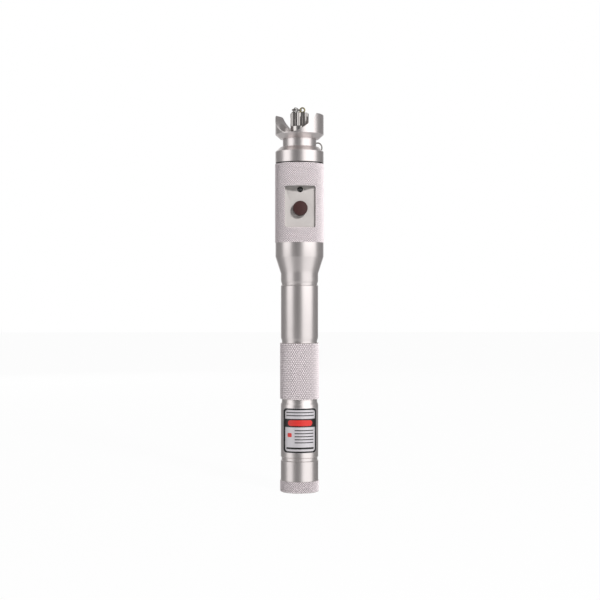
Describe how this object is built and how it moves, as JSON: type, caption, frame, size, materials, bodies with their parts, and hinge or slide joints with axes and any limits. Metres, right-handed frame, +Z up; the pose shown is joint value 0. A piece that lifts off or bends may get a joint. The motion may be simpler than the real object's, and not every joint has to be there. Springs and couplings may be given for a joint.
{
  "type": "visual fault locator",
  "caption": "Pen-type laser light source for tracing fibre: knurled metal barrel, recessed push button, guarded optical port with a tethered screw cap, screw-off tail cap.",
  "frame": {"origin": "centre of the tail cap's flat end, on the tool's axis", "axes": "+Z up the tool's axis to the optical port, -Y out of the push button, +X to the right of someone who faces the button"},
  "size_m": [0.0244, 0.0275, 0.1919],
  "materials": {
    "satin_aluminium": "satin, clear anodised",
    "plate_aluminium": "fine blasted, clear anodised",
    "nickel": "bright nickel plate",
    "dark_nickel": "plated, dulled",
    "brass": "turned",
    "aged_brass": "browned, rubbed bright",
    "steel": "plain",
    "button_red": "dark red brown, satin",
    "led_dark": "smoked lens",
    "black_plastic": "moulded",
    "chip_black": "moulded",
    "green_board": "solder mask",
    "red_wire": "insulated",
    "cell_wrap": "plain printed sleeve",
    "label_foil": "satin foil",
    "label_black": "printed ink",
    "label_red": "printed ink",
    "lens_glass": "clear",
    "white_ceramic": "polished",
    "black_rubber": "moulded"
  },
  "bodies": {
    "root": {"battery_rear": "cell_wrap", "battery_front": "cell_wrap", "battery_tube": "satin_aluminium", "label_sheet": "label_foil", "label_print": "label_black", "label_bar": "label_red", "contact_insulator": "black_plastic", "positive_contact": "brass", "battery_lead": "red_wire", "head_barrel": "satin_aluminium", "module_carrier": "black_plastic", "circuit_board": "green_board", "board_screws": "steel", "driver_chip": "chip_black", "circuit_parts": "chip_black", "tact_switch": "chip_black", "switch_dome": "steel", "switch_plate": "plate_aluminium", "indicator_led": "led_dark", "laser_leads": "red_wire", "laser_housing": "brass", "diode_holder": "brass", "laser_diode": "steel", "lens_ring": "brass", "focusing_lens": "lens_glass", "head_o_ring": "black_rubber", "guard_head": "satin_aluminium", "adapter_lock_nut": "nickel", "adapter_barrel": "nickel", "ceramic_sleeve": "white_ceramic", "tether_chain": "dark_nickel", "tail_spring": "steel"},
    "power_button": {"power_button": "button_red", "switch_plunger": "black_plastic"},
    "cap_swivel": {"cap_swivel": "aged_brass"},
    "dust_cap": {"dust_cap": "nickel", "cap_liner": "black_rubber"},
    "tether_ring": {"tether_ring": "dark_nickel"},
    "tail_seat": {"tail_contact": "brass"},
    "tail_cap": {"tail_cap": "satin_aluminium", "tail_seal": "black_rubber"}
  },
  "joints": [
    {"name": "button_press", "type": "slide", "parent": "root", "child": "power_button", "axis": [0, 1, 0], "range_m": [0, 0.0008], "stiffness_N_per_m": 600, "springref_m": -0.0005, "deforming": ["switch_dome"]},
    {"name": "dust_cap_lift", "type": "slide", "parent": "root", "child": "cap_swivel", "axis": [0, 0, 1], "range_m": [0, 0.0045], "deforming": ["tether_chain"]},
    {"name": "dust_cap_turn", "type": "hinge", "parent": "cap_swivel", "child": "dust_cap", "pos_m": [0, 0, 0.187], "axis": [0, 0, 1], "range_deg": [0, 2161]},
    {"name": "tether_ring_turn", "type": "hinge", "parent": "root", "child": "tether_ring", "pos_m": [0.00917, 0.00414, 0.1719], "axis": [0.5344, 0.8453, 0], "continuous": true},
    {"name": "tail_cap_travel", "type": "slide", "parent": "root", "child": "tail_seat", "axis": [0, 0, -1], "range_m": [0, 0.006], "deforming": ["tail_spring"]},
    {"name": "tail_cap_turn", "type": "hinge", "parent": "tail_seat", "child": "tail_cap", "pos_m": [0, 0, 0.01], "axis": [0, 0, -1], "range_deg": [0, 1441]}
  ],
  "couplings": [
    {"joint": "dust_cap_turn", "follows": "dust_cap_lift", "rad_per_m": 8377.6},
    {"joint": "tail_cap_turn", "follows": "tail_cap_travel", "rad_per_m": 4188.8}
  ]
}
